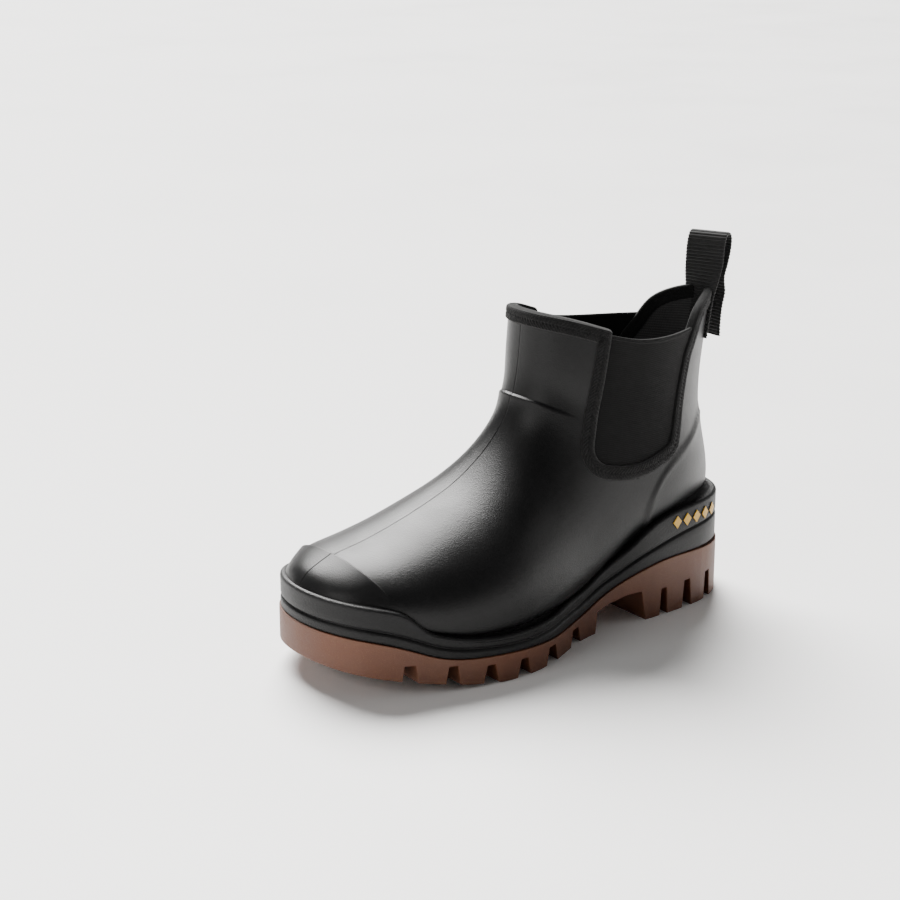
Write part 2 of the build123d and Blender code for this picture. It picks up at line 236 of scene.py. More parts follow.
def side_points(y, z, side, grow=0.0):
    """Points of the surface seen at (y, z) in side view, on the outer (1) or inner (-1) side."""
    flat = np.stack([np.zeros_like(y), y, z], -1)
    t = station_of(flat)
    row = section_at(t)
    line = row[:, 2:4] - row[:, 0:2]
    length = np.linalg.norm(line, axis=1)
    v = ((flat[:, 1:] - row[:, 0:2]) * line).sum(1) / length
    middle, near_round, far_round = row[:, 6], row[:, 7], row[:, 8]
    widest = middle * length
    low = v > widest
    half_power = np.where(low, far_round, near_round) / 2
    reach = np.where(low, length - widest, widest) + grow
    c = np.clip(np.abs(v - widest) / reach, 0, 1)**half_power
    angle = np.arccos(np.where(low, c, -c))
    return surface(t, angle if side > 0 else 2 * pi - angle, grow)


def normals(t, angle):
    """Outward normals of the upper's outer face."""
    eps = 1e-3
    along = surface(t + eps, angle) - surface(t - eps, angle)
    around = surface(t, angle + eps) - surface(t, angle - eps)
    n = np.cross(along, around)
    return n / (np.linalg.norm(n, axis=-1, keepdims=True) + 1e-12)


def to_frame(points):
    """Design points in millimetres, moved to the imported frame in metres."""
    return (np.asarray(points) + CENTRE_SHIFT) * MM


def line_distance(points, line):
    """Distance of 2-D points from a polyline, positive on its left."""
    a, b = line[:-1], line[1:]
    d = b - a
    share = ((points[:, None] - a) * d).sum(-1) / (d * d).sum(-1)
    nearest = a + np.clip(share, 0, 1)[..., None] * d
    away = points[:, None] - nearest
    distance = np.linalg.norm(away, axis=-1)
    i = distance.argmin(1)
    k = np.arange(len(points))
    side = np.sign(d[i, 0] * away[k, i, 1] - d[i, 1] * away[k, i, 0])
    return side * distance[k, i]


def fillet_line(corners, radii, inset=0.0, step=0.5):
    """Polyline with rounded corners, moved to its left by inset."""
    corners = np.asarray(corners, float)
    moved = list(corners)
    directions = unit(np.diff(corners, axis=0))
    lefts = np.stack([-directions[:, 1], directions[:, 0]], -1)
    moved[0] = corners[0] + inset * lefts[0]
    moved[-1] = corners[-1] + inset * lefts[-1]
    for i in range(1, len(corners) - 1):
        both = lefts[i - 1] + lefts[i]
        moved[i] = corners[i] + inset * both / (1 + lefts[i - 1] @ lefts[i])
    line = [moved[0]]
    for i, radius in enumerate(radii, start=1):
        turn = np.arccos(np.clip(directions[i - 1] @ directions[i], -1, 1))
        r = radius - inset
        trim = r * tan(turn / 2)
        centre = moved[i] - trim * directions[i - 1] + r * lefts[i - 1]
        start = -lefts[i - 1]
        for share in np.linspace(0, 1, max(8, int(r * turn / step))):
            a = turn * share
            line.append(centre + r * (cos(a) * start + sin(a) * directions[i - 1]))
    line.append(moved[-1])
    return resample(np.array(line), 500)


# ---- meshes

def grid_faces(rows, columns, closed_rows=False, closed_columns=False):
    """Quads of a grid, and the unwrapped row and column of each of their corners."""
    i, j = np.meshgrid(np.arange(rows if closed_rows else rows - 1),
                       np.arange(columns if closed_columns else columns - 1), indexing="ij")
    i, j = i.ravel(), j.ravel()
    corner_rows = np.stack([i, i, i + 1, i + 1], -1)
    corner_columns = np.stack([j, j + 1, j + 1, j], -1)
    faces = corner_rows % rows * columns + corner_columns % columns
    return faces, corner_rows, corner_columns


def add_object(name, data):
    made = bpy.data.objects.new(name, data)
    bpy.context.scene.collection.objects.link(made)
    return made


def make_piece(name, points, faces, material, uv=None, body="boot"):
    """Smooth-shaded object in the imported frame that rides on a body. uv has one pair per corner."""
    used, faces_used = np.unique(faces, return_inverse=True)
    faces_used = faces_used.reshape(np.shape(faces))
    mesh = bpy.data.meshes.new(name)
    mesh.from_pydata(to_frame(points[used]).tolist(), [], faces_used.tolist())
    if uv is not None:
        layer = mesh.uv_layers.new(name="flat")
        layer.data.foreach_set("uv", np.asarray(uv, np.float32).ravel())
    mesh.polygons.foreach_set("use_smooth", np.ones(len(mesh.polygons), bool))
    mesh.materials.append(material)
    piece = add_object(name, mesh)
    tidy_mesh(mesh)
    if body:
        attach(piece, body)
    return piece


def tidy_mesh(mesh):
    """Joins doubled points and turns all faces outward."""
    edit = bmesh.new()
    edit.from_mesh(mesh)
    bmesh.ops.remove_doubles(edit, verts=edit.verts, dist=SAME_PLACE)
    bmesh.ops.recalc_face_normals(edit, faces=edit.faces)
    edit.to_mesh(mesh)
    edit.free()


def thick_sheet(front, back, faces, uv):
    """Closed solid from two sheets with the same faces: (points, faces, uv)."""
    count = len(front)
    edges = np.concatenate([faces[:, [k, (k + 1) % 4]] for k in range(4)])
    face_of = np.tile(np.arange(len(faces)), 4)
    corner_of = np.repeat(np.arange(4), len(faces))
    key = edges[:, 0] * count + edges[:, 1]
    border = ~np.isin(key, edges[:, 1] * count + edges[:, 0])
    rim = edges[border]
    walls = np.stack([rim[:, 1], rim[:, 0], rim[:, 0] + count, rim[:, 1] + count], -1)
    first = uv[face_of[border], corner_of[border]]
    second = uv[face_of[border], (corner_of[border] + 1) % 4]
    wall_uv = np.stack([second, first, first, second], 1)
    back_faces = faces[:, ::-1] + count
    return (np.concatenate([front, back]), np.concatenate([faces, back_faces, walls]),
            np.concatenate([uv, uv[:, ::-1], wall_uv]))


def spread(low, high, count, peaks):
    """Count places from low to high, closer together round each peak (place, width, extra)."""
    fine = np.linspace(low, high, 4000)
    density = np.ones_like(fine)
    for place, width, extra in peaks:
        density += extra * np.exp(-((fine - place) / width)**2)
    total = np.concatenate([[0], np.cumsum((density[1:] + density[:-1]) / 2)])
    return np.interp(np.linspace(0, total[-1], count), total, fine)


# ---- moulded upper

TOE_RIDGE = 2.7             # station of the toe cap's edge on the vamp
ANKLE_RIDGE = 11.05         # station of the ankle ledge on the vamp
UPPER_END = 15.6            # last station drawn, above the collar
PARTING = np.array([0.0, 0.003, 0.0062, 0.011, 0.018, 0.028, 0.042])    # angles by the mould line


def toe_ridge(angle):
    """Station of the toe cap's edge, which sweeps back down the sides."""
    return TOE_RIDGE + 0.5 * np.clip(np.abs(angle - pi) / radians(70), 0, 1.4)**2


def ankle_ridge(angle):
    """Station of the ankle ledge, which sweeps back down the sides."""
    return ANKLE_RIDGE + 0.28 * np.clip(np.abs(angle - pi) / radians(38), 0, 1.3)**1.5


def ledge(distance, rise, height, rest, settle):
    """Height of a step: none before 0, full after rise, then it settles to rest."""
    after = np.clip(distance - rise, 0, None)
    return smooth(distance / rise) * (rest + (height - rest) * np.exp(-after / settle))


def relief(points, t, angle):
    """Height of the moulded details above the plain surface."""
    toe_start, toe_fade = radians(48), radians(26)
    ankle_start, ankle_fade = radians(8), radians(44)
    counter_start = 9.2
    parting_depth, parting_half_width = 0.28, 0.42
    from_vamp = np.abs(angle - pi)
    toe = np.linalg.norm(points - surface(toe_ridge(angle), angle), axis=-1)
    toe *= np.sign(toe_ridge(angle) - t)
    height = ledge(toe + 0.3, 1.5, 1.7, 0.35, 8) * (1 - smooth((from_vamp - toe_start) / toe_fade))
    ankle = np.linalg.norm(points - surface(ankle_ridge(angle), angle), axis=-1)
    ankle *= np.sign(ankle_ridge(angle) - t)
    height += ledge(ankle + 0.3, 2.2, 1.6, 0, 16) * (1 - smooth((from_vamp - ankle_start) / ankle_fade))
    counter = line_distance(points.reshape(-1, 3)[:, 1:], curve(HEEL_COUNTER, 90)).reshape(t.shape)
    rim = ledge(counter + 0.8, 3.0, 1.15, 0.45, 3.2)
    height += rim * smooth((t - counter_start) / 0.5)
    across = np.abs(points[..., 0])
    height -= parting_depth * (1 - smooth(across / parting_half_width)) * (from_vamp < 0.5)
    return height


def upper_grid():
    """Stations and angles of the upper's mesh, rows bent to follow the two ridges."""
    side = spread(0, pi - PARTING[-1], 104, [(radians(83), 0.11, 1.6), (0.15, 0.3, 0.5)])
    side = np.concatenate([side[:-1], pi - PARTING[::-1]])
    angles = np.concatenate([side, 2 * pi - side[-2:0:-1]])
    rows = spread(0, UPPER_END, 196, [(TOE_RIDGE - 0.06, 0.1, 5), (ANKLE_RIDGE - 0.05, 0.07, 6),
                                 (12.25, 0.5, 2.6), (10.8, 0.8, 1.0), (1.0, 0.9, 0.6)])
    row, angle = np.meshgrid(rows, angles, indexing="ij")
    near_toe = np.clip(1 - ((row - TOE_RIDGE) / 1.7)**2, 0, 1)**2
    near_ankle = np.clip(1 - ((row - ANKLE_RIDGE) / 0.9)**2, 0, 1)**2
    t = row + (toe_ridge(angle) - TOE_RIDGE) * near_toe
    t += (ankle_ridge(angle) - ANKLE_RIDGE) * near_ankle
    return t, angle


def close_toe(points, steps=9, bulge=12.0):
    """Rows that dome over the open toe end of a grid, from the tip to the first row."""
    edge_turn = pi / 4
    first = points[0]
    centre = (first.min(0) + first.max(0)) / 2
    rows = []
    for i in range(steps):
        turn = pi / 2 + (edge_turn - pi / 2) * i / steps
        forward = np.array([0, bulge * (sin(turn) - sin(edge_turn)), 0])
        rows.append(centre + (first - centre) * cos(turn) / cos(edge_turn) - forward)
    return np.concatenate([np.array(rows), points])


def below_collar(points, drop):
    """True where a point is under the collar line, moved down by drop."""
    front, back = height_line(COLLAR_FRONT), height_line(COLLAR_BACK)
    y, z = points[..., 1], points[..., 2]
    ends = np.interp(y, [COLLAR_FRONT[-1][0], COLLAR_BACK[0][0]], [COLLAR_FRONT[-1][1], COLLAR_BACK[0][1]])
    line = np.where(y < COLLAR_FRONT[-1][0], front(y), np.where(y > COLLAR_BACK[0][0], back(y), ends))
    return z < line - drop


def in_gusset(points, inset):
    """True where a point is in the gusset opening, moved inward by inset."""
    edge = fillet_line(GUSSET_CORNERS, GUSSET_RADII, inset)[::6]
    return (line_distance(points.reshape(-1, 3)[:, 1:], edge) > 0).reshape(points.shape[:-1])


def kept_faces(faces, plain):
    """Faces that lie on the panels: under the collar and outside the gussets."""
    collar_margin = 1.5
    centre = plain[faces].mean(1)
    return below_collar(centre, TAPE + collar_margin) & ~in_gusset(centre, UPPER_UNDER_TAPE)


def make_upper(material):
    """Moulded upper with its toe cap, ankle ledge, heel counter and mould line."""
    t, angle = upper_grid()
    plain = surface(t, angle)
    outside = close_toe(plain + normals(t, angle) * relief(plain, t, angle)[..., None])
    inside = close_toe(surface(t, angle, -WALL + 0.05), bulge=0.4)
    plain = close_toe(plain)
    rows, columns = plain.shape[:2]
    faces, _, _ = grid_faces(rows, columns, closed_columns=True)
    kept = kept_faces(faces, plain.reshape(-1, 3))
    faces = faces[kept]
    uv = np.zeros(faces.shape + (2,))
    points, faces, _ = thick_sheet(outside.reshape(-1, 3), inside.reshape(-1, 3), faces, uv)
    piece = make_piece("upper_shell", points, faces, material)
    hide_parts("upper")


def make_lining(material):
    """Knitted lining, in the same panels as the upper."""
    girth, length = 370.0, 330.0
    angles = np.linspace(0, 2 * pi, 180, endpoint=False)
    rows = spread(0.2, UPPER_END, 150, [(1.0, 1.0, 1)])
    t, angle = np.meshgrid(rows, angles, indexing="ij")
    face = close_toe(surface(t, angle, LINING_FACE), bulge=0.3)
    back = close_toe(surface(t, angle, -WALL - 0.05), bulge=0.3)
    count, columns = face.shape[:2]
    faces, corner_rows, corner_columns = grid_faces(count, columns, closed_columns=True)
    kept = kept_faces(faces, back.reshape(-1, 3))
    around = girth * corner_columns / columns
    lengthwise = length * corner_rows / count
    uv = np.stack([around, lengthwise], -1)[kept] * MM
    points, faces, uv = thick_sheet(face.reshape(-1, 3), back.reshape(-1, 3), faces[kept], uv)
    piece = make_piece("knit_lining", points, faces, material, uv)
    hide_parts("lining")


# ---- rand and outsole

def outline_points(count):
    """Evenly spaced points of the sole's outline and the outward directions there."""
    wrapped = np.concatenate([SOLE_OUTLINE[-6:], SOLE_OUTLINE, SOLE_OUTLINE[:7]])
    knots = running_length(wrapped)
    first, last = knots[6], knots[6 + len(SOLE_OUTLINE)]
    dense = spline(knots, wrapped, np.linspace(first, last, 6000))
    line = resample(dense, count + 1)
    along = unit(np.roll(line[:-1], -1, 0) - np.roll(line[:-1], 1, 0))
    return line[:-1], np.stack([along[:, 1], -along[:, 0]], -1)


def rand_profile(low, groove, top):
    """Section of the rand at one place: (inset from the sole outline, height) in a closed loop."""
    lower = [(17, low), (2.2, low), (1.25, low + 0.15), (0.9, low + 0.55), (0.8, low + 1.2)]
    walls = [(0.8, low + (groove - low) * share) for share in (0.4, 0.6)]
    valley = [(0.85, groove - 1.75), (1.05, groove - 1.2), (1.5, groove - 0.72), (2.05, groove - 0.35),
              (2.25, groove), (2.05, groove + 0.35), (1.5, groove + 0.72), (1.05, groove + 1.2),
              (0.92, groove + 1.75)]
    band = [(0.9, groove + (top - groove) * share) for share in (0.4, 0.55, 0.68)]
    lip = [(0.82, top - 1.9), (0.9, top - 1.35), (1.2, top - 0.75), (1.75, top - 0.28),
           (2.5, top - 0.02), (3.3, top), (4.4, top - 0.35), (5.6, top - 0.2), (7.2, top + 0.7),
           (9.5, top + 2.2), (17, top + 2.0)]
    return lower + walls + valley + band + lip


def make_rand(material):
    """Black midsole band, one closed ring swept round the sole's outline."""
    line, out = outline_points(620)
    heights = [height_line(points)(line[:, 1]) for points in (SOLE_TOP, GROOVE, RAND_TOP)]
    rings = []
    for place, direction, low, groove, top in zip(line, out, *heights):
        ring = [(*(place - inset * direction), z) for inset, z in rand_profile(low, groove, top)]
        rings.append(ring)
    points = np.array(rings)
    faces, _, _ = grid_faces(*points.shape[:2], closed_rows=True, closed_columns=True)
    piece = make_piece("rand", points.reshape(-1, 3), faces, material)
    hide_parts("midsole")


def rounded_copy(node, name, width, material):
    """Copy of a CAD node with its sharp edges rounded, that stands for it."""
    nearly_flat = radians(0.8)
    sharp_from = radians(32)
    edit = bmesh.new()
    edit.from_mesh(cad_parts[node].data)
    bmesh.ops.remove_doubles(edit, verts=edit.verts, dist=SAME_PLACE)
    bmesh.ops.dissolve_limit(edit, angle_limit=nearly_flat, verts=edit.verts, edges=edit.edges)
    sharp = [e for e in edit.edges if len(e.link_faces) == 2 and e.calc_face_angle() > sharp_from]
    bmesh.ops.bevel(edit, geom=sharp, offset=width * MM, segments=3, profile=0.5,
                    affect="EDGES", clamp_overlap=False)
    for face in edit.faces:
        face.smooth = True
    mesh = bpy.data.meshes.new(name)
    edit.to_mesh(mesh)
    edit.free()
    mesh.materials.append(material)
    piece = add_object(name, mesh)
    normals_kept = piece.modifiers.new("even_shading", "WEIGHTED_NORMAL")
    normals_kept.keep_sharp = True
    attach(piece, "boot")
    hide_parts(node)


# ---- bound edge and elastic

def collar_arc(points, first, last, count=240):
    """Points of the collar line on the surface, over angles from first to last."""
    line = height_line(points)
    angles = np.linspace(first, last, count)
    stations = np.linspace(12, LAST_STATION, 160)
    t, angle = np.meshgrid(stations, angles)
    grid = surface(t, angle)
    over = grid[..., 2] - line(grid[..., 1])
    i = (over > 0).argmax(1)
    k = np.arange(count)
    share = over[k, i - 1] / (over[k, i - 1] - over[k, i])
    place = stations[i - 1] + share * (stations[1] - stations[0])
    return surface(place, angles)


def first_crossing(a, b):
    """Indices where two 3-D polylines come nearest to each other."""
    gap = np.linalg.norm(a[:, None] - b[None], axis=-1)
    return np.unravel_index(gap.argmin(), gap.shape)


def side_arc(side):
    """Inner edge of the tape round one gusset, from its front top to its back top."""
    flat = fillet_line(GUSSET_CORNERS, GUSSET_RADII, TAPE_WIDTH)
    flat = flat[flat[:, 1] < SECTIONS[-1, 1]]
    return side_points(flat[:, 0], flat[:, 1], side)


def nose_path():
    """Closed path of the tape's folded edge, and its four sharp corners."""
    front = collar_arc([*COLLAR_FRONT, (70, 174.3)], radians(98), radians(262))
    back = collar_arc([(120, 151), *COLLAR_BACK], radians(-75), radians(75))
    inner, outer = side_arc(-1), side_arc(1)
    legs = [front, inner, back, outer[::-1]]
    cut = []
    for k, leg in enumerate(legs):
        before, after = legs[k - 1], legs[(k + 1) % 4]
        start = first_crossing(before, leg)[1]
        end = first_crossing(leg, after)[0]
        cut.append(leg[start:end + 1])
    corners = [(cut[k - 1][-1] + cut[k][0]) / 2 for k in range(4)]
    corner_lengths = []
    path = []
    total = 0.0
    for corner, leg in zip(corners, cut):
        corner_lengths.append(total)
        leg = np.concatenate([[corner], leg[1:-1]])
        path.append(leg)
        closed = np.concatenate([leg, [corners[len(corner_lengths) % 4]]])
        total += np.linalg.norm(np.diff(closed, axis=0), axis=1).sum()
    return np.concatenate(path), np.array(corner_lengths), total


def tape_frames(count):
    """Path of the tape: nose points, panel-side edge points, and lengths along the path."""
    corner_reach = 4.0
    corner_blur = 4.5
    path, corner_lengths, total = nose_path()
    closed = np.concatenate([path, path[:1]])
    nose = resample(closed, count + 1)[:-1]
    lengths = np.arange(count) * total / count
    nearest = (lengths[:, None] - corner_lengths + total / 2) % total - total / 2
    _, t, angle = on_shaft(nose)
    outward = normals(t, angle)
    along = unit(np.roll(nose, -1, 0) - np.roll(nose, 1, 0))
    panel = unit(np.cross(outward, along))
    edge = nose + TAPE_WIDTH * panel
    look = int(corner_reach / (total / count))
    for k, place in enumerate(corner_lengths):
        i = int(round(place / total * count)) % count
        before, after = panel[(i - look) % count], panel[(i + look) % count]
        mitre = nose[i] + TAPE_WIDTH * (before + after) / (1 + before @ after)
        reach = abs((mitre - nose[i]) @ along[(i - look) % count])
        inside = np.abs(nearest[:, k]) < reach
        edge[inside] = mitre
    blur = int(corner_blur / (total / count))
    kernel = np.hanning(2 * blur + 1)[1:-1]
    kernel /= kernel.sum()
    for line in (nose, edge):
        for k in range(3):
            wrapped = np.concatenate([line[-blur:, k], line[:, k], line[:blur, k]])
            line[:, k] = np.convolve(wrapped, kernel, mode="same")[blur:-blur]
    return nose, edge, lengths, total


TWILL_PITCH = 2.1
TWILL_HEIGHT = 0.3
STITCH_PITCH = 3.0


def make_edge_tape(material):
    """Twill tape folded over the cut edge: one face outside, one inside, joined by the fold."""
    crown_height = 0.12
    seam_at, seam_half_width, seam_depth, stitch_depth = 4.4, 0.42, 0.5, 0.16
    nose, edge, lengths, total = tape_frames(1500)
    half = LINING_FACE / 2
    across = np.concatenate([[8.5, 8.46, 8.2, 7.7], np.linspace(7.1, 1.6, 10), [1.0, 0.5, 0.12, -0.1]])
    crown = TAPE + crown_height * np.sin(pi * across / TAPE_WIDTH)
    lift = crown - np.interp(across, [-0.1, 0.12, 0.5, 1.0, 1.6, 7.1, 7.7, 8.2, 8.46, 8.5],
                             [1.6, 1.0, 0.42, 0.16, 0.05, 0.0, 0.08, 0.3, 0.7, 1.25])
    seam = np.exp(-((across - seam_at) / seam_half_width)**2)
    profile_across = np.concatenate([across, [-0.22], across[::-1], [8.2]])
    outer_face = np.concatenate([np.ones(len(across)), [0], np.zeros(len(across)), [0]])
    inner_face = np.concatenate([np.zeros(len(across)), [0], np.ones(len(across)), [0]])
    profile_lift = np.concatenate([lift, [half], 2 * half - lift[::-1], [half]])
    profile_seam = np.concatenate([seam, [0], seam[::-1], [0]])
    waves = 2 * pi * round(total / TWILL_PITCH) / total
    chevron = np.abs(profile_across - TAPE_WIDTH / 2)
    ribs = np.sin(lengths[:, None] * waves + chevron[None] * 2 * pi / TWILL_PITCH)
    flat = np.clip((profile_across - 0.2) / 1.0, 0, 1) * np.clip((8.3 - profile_across) / 0.8, 0, 1)
    stitches = np.sin(lengths * 2 * pi * round(total / STITCH_PITCH) / total)
    bumps = TWILL_HEIGHT * ribs * flat - profile_seam * (seam_depth - stitch_depth * stitches[:, None])
    grow = profile_lift + bumps * (outer_face - inner_face)
    share = profile_across / TAPE_WIDTH
    flat_points = nose[:, None] + share[None, :, None] * (edge - nose)[:, None]
    rows, columns = grow.shape
    points, _, _ = on_shaft(flat_points.reshape(-1, 3), grow.ravel())
    faces, corner_rows, corner_columns = grid_faces(rows, columns, closed_rows=True, closed_columns=True)
    place = np.append(profile_across, profile_across[0])[corner_columns]
    uv = np.stack([corner_rows * total / rows, place], -1) * MM
    piece = make_piece("edge_binding", points.reshape(-1, 3), faces, material, uv)
    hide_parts("edge_tape")


RIB_PITCH = 1.15
ELASTIC_LEVEL = 176.0       # about the elastic's top, for spacing the mesh
ELASTIC_MARGIN = 3.5        # width of elastic tucked under the tape


def make_gusset(side, name, node, material):
    """Ribbed elastic panel with a folded hem along its top."""
    hem = 2.4
    rib_height, hem_height = 0.1, 0.35
    edge = fillet_line(GUSSET_CORNERS, GUSSET_RADII, TAPE_WIDTH - ELASTIC_MARGIN)
    lowest = edge[:, 1].argmin()
    top = height_line(ELASTIC_TOP)
    rows, columns = 400, 44
    shares = np.linspace(0, 1, rows)
    front_y, front_z = edge[:lowest + 1, 0][::-1], edge[:lowest + 1, 1][::-1]
    back_y, back_z = edge[lowest:, 0], edge[lowest:, 1]
    y = np.zeros((rows, columns))
    z = np.zeros((rows, columns))
    bottom = edge[lowest, 1] + 0.05
    for j, across in enumerate(np.linspace(0, 1, columns)):
        level = bottom + shares * (ELASTIC_LEVEL - bottom)
        start = np.interp(level, front_z, front_y)
        end = np.interp(level, back_z, back_y)
        y[:, j] = start + across * (end - start)
        z[:, j] = bottom + (level - bottom) * (top(y[:, j]) - bottom) / (ELASTIC_LEVEL - bottom)
    below_top = top(y) - z
    ribs = rib_height * np.cos(2 * pi * z / RIB_PITCH) * smooth((below_top - hem) / 0.8)
    fold = hem_height * (1 - smooth((below_top - hem + 0.5) / 0.6)) - 0.5 * (1 - smooth(below_top / 0.7))
    out = ELASTIC_FACE + ribs + fold
    back = -WALL + 0.2 - ribs - fold
    front_points = side_points(y.ravel(), z.ravel(), side, out.ravel())
    back_points = side_points(y.ravel(), z.ravel(), side, back.ravel())
    faces, _, _ = grid_faces(rows, columns)
    uv = np.stack([y.ravel()[faces], z.ravel()[faces]], -1) * MM
    points, faces, uv = thick_sheet(front_points, back_points, faces, uv)
    piece = make_piece(name, points, faces, material, uv)
    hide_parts(node)


# ---- webbing loop

LOOP_AXIS = np.array([0.0, 165.0, 190.0])
LOOP_LEAN = radians(18)
LOOP_TURN = radians(25)
WEB_RIB = 2.0               # pitch of the webbing's cross ribs


def back_face(z, grow):
    """y of the upper's back at height z, grow outside its outer face."""
    place = side_points(np.full_like(z, 100.0), z, 1)
    t = station_of(place)
    for _ in range(12):
        point = surface(t, np.zeros_like(t), grow)
        t = np.clip(t + (z - point[:, 2]) * 0.02, 9, LAST_STATION)
    return surface(t, np.zeros_like(t), grow)[:, 1]


def loop_path():
    """Middle line of the webbing in side view, from the outer leg over the bight to the inner."""
    low, high, height = 2.9, 5.3, 26.2
    leg_z = np.array([154.0, 159.0, 166.0, 174.0, 181.0])
    outer = np.stack([back_face(leg_z, TAPE + 1.1), leg_z], -1)
    outer[:3, 0] += 2.0, 1.1, 0.3       # the cut end stands off the boot
    inner = np.stack([back_face(leg_z, LINING_FACE - TAPE - 1.0), leg_z], -1)
    arch = [(low, 1.5), (low + 0.9, 8), (high, 15), (high, height - high)]
    crown = [(high * cos(a), height - high + high * sin(a)) for a in np.linspace(pi / 5, 4 * pi / 5, 4)]
    local = arch + crown + [(-y, z) for y, z in arch[::-1]]
    bight = [(LOOP_AXIS[1] + y * cos(LOOP_LEAN) + z * sin(LOOP_LEAN),
              LOOP_AXIS[2] - y * sin(LOOP_LEAN) + z * cos(LOOP_LEAN)) for y, z in local]
    points = np.concatenate([outer, bight, inner[::-1]])
    return curve(points, 420)


def make_pull_loop(material):
    """Cross-ribbed webbing, turned a little on its way up, fixed to the boot at its legs."""
    turn_from, turn_over = 176.0, 26.0
    scallop_depth, rib_share = 0.16, 0.3
    line = loop_path()
    turn = LOOP_TURN * smooth((line[:, 1] - turn_from) / turn_over)
    length = running_length(line)
    along = unit(np.gradient(line, axis=0))
    side = np.stack([along[:, 1], -along[:, 0]], -1)
    half = WEBBING_WIDTH / 2 - 0.3
    across = np.concatenate([[-1.0, -0.985], np.linspace(-0.95, 0.95, 19), [0.985, 1.0]])
    thin = np.interp(np.abs(across), [0.0, 0.95, 0.985, 1.0], [1.0, 0.95, 0.7, 0.25])
    ribs = np.cos(2 * pi * length / WEB_RIB)
    rows = []
    for i in range(len(line)):
        scallop = half + scallop_depth * ribs[i]
        thick = WEBBING / 2 * thin * (1 + rib_share * ribs[i])
        x = np.concatenate([across, across[::-1]]) * scallop
        off = np.concatenate([thick, -thick[::-1]])
        y = line[i, 0] - LOOP_AXIS[1] + off * side[i, 0]
        z = line[i, 1] + off * side[i, 1]
        rows.append(np.stack([x * cos(turn[i]) - y * sin(turn[i]),
                              LOOP_AXIS[1] + x * sin(turn[i]) + y * cos(turn[i]), z], -1))
    points = np.array(rows)
    count, columns = points.shape[:2]
    faces, corner_rows, corner_columns = grid_faces(count, columns, closed_columns=True)
    wide = np.concatenate([across, across[::-1], across[:1]]) * half
    uv = np.stack([wide[corner_columns], length[corner_rows]], -1) * MM
    points = points.reshape(-1, 3)
    piece = make_piece("webbing_loop", points, faces, material, uv, body=None)
    close_ends(piece.data)
    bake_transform(piece)
    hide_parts("strap_legs", "pull_loop")


def close_ends(mesh):
    """Fills the open ends of a tube."""
    edit = bmesh.new()
    edit.from_mesh(mesh)
    bmesh.ops.holes_fill(edit, edges=[e for e in edit.edges if e.is_boundary], sides=0)
    bmesh.ops.recalc_face_normals(edit, faces=edit.faces)
    edit.to_mesh(mesh)
    edit.free()


# ---- inside

def make_seam_tape(material):
    """Tape over the lining's back seam."""
    half, bottom, top = 8.0, 66, 152
    thick, stitch_at = 0.6, 6.2
    z = np.linspace(bottom, top, 130)
    x = np.linspace(-half, half, 21)
    middle = np.stack([np.zeros_like(z), back_face(z, LINING_FACE), z], -1)
    flat = np.repeat(middle[:, None], len(x), 1)
    flat[..., 0] = x[None]
    edge = 1 - smooth((half - np.abs(x)) / 0.7)
    stitch = np.exp(-((np.abs(x) - stitch_at) / 0.35)**2)
    face = LINING_FACE - thick + 0.3 * edge + 0.22 * stitch
    front, _, _ = on_shaft(flat.reshape(-1, 3), np.tile(face, len(z)))
    back, _, _ = on_shaft(flat.reshape(-1, 3), LINING_FACE + 0.1)
    faces, corner_rows, corner_columns = grid_faces(len(z), len(x))
    uv = np.stack([x[corner_columns], z[corner_rows]], -1) * MM
    points, faces, uv = thick_sheet(front, back, faces, uv)
    piece = make_piece("lining_seam_tape", points, faces, material, uv)
    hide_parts("back_seam_tape")


def insole_sheet(lift, inset, shape):
    """Grid over the footbed, lift above it, its edge inset from the lining."""
    toe_end, length = -113.0, 262.0
    rows, columns = shape
    footbed = height_line(FOOTBED)
    y = toe_end + length * (1 - np.cos(np.linspace(0, pi, rows))) / 2
    z = footbed(y) + lift
    grow = LINING_FACE - inset
    right = side_points(y, z, 1, grow)[:, 0]
    left = side_points(y, z, -1, grow)[:, 0]
    across = np.sin(np.linspace(-pi / 2, pi / 2, columns))
    x = (left + right)[:, None] / 2 + (right - left)[:, None] / 2 * across
    grid = np.stack([x, np.repeat(y[:, None], columns, 1), np.repeat(z[:, None], columns, 1)], -1)
    return grid, np.abs(across)


def make_insole(foam_material, cover_material):
    """Foam insole with a quilted fabric cover, its edges rounded."""
    shape = (150, 60)
    quilt_pitch = 9
    layers = []
    for lift, inset in ((0.4, 1.9), (4.2, 1.9), (4.3, 1.9), (5.0, 2.1)):
        grid, across = insole_sheet(lift, inset, shape)
        layers.append(grid)
    rim = smooth((across - 0.8) / 0.2)[None, :]
    rounding = 0.5 * smooth((across - 0.96) / 0.04)[None, :]
    x, y = layers[3][..., 0], layers[3][..., 1]
    quilt = np.sin(x * 2 * pi / quilt_pitch) * np.sin(y * 2 * pi / quilt_pitch)
    layers[3][..., 2] += 0.25 * quilt * (1 - rim) - rounding
    layers[0][..., 2] += rounding
    faces, corner_rows, corner_columns = grid_faces(*shape)
    uv = np.stack([x.ravel()[faces], y.ravel()[faces]], -1) * MM
    for name, node, low, high, material, slot in (
            ("insole_pad", "insole_foam", 0, 1, foam_material, "foam"),
            ("insole_fabric", "insole_cover", 2, 3, cover_material, "insole_fabric")):
        top, bottom = layers[high].reshape(-1, 3), layers[low].reshape(-1, 3)
        points, all_faces, all_uv = thick_sheet(top, bottom, faces, uv)
        piece = make_piece(name, points, all_faces, material, all_uv, body="insole")
        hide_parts(node)


# ---- materials

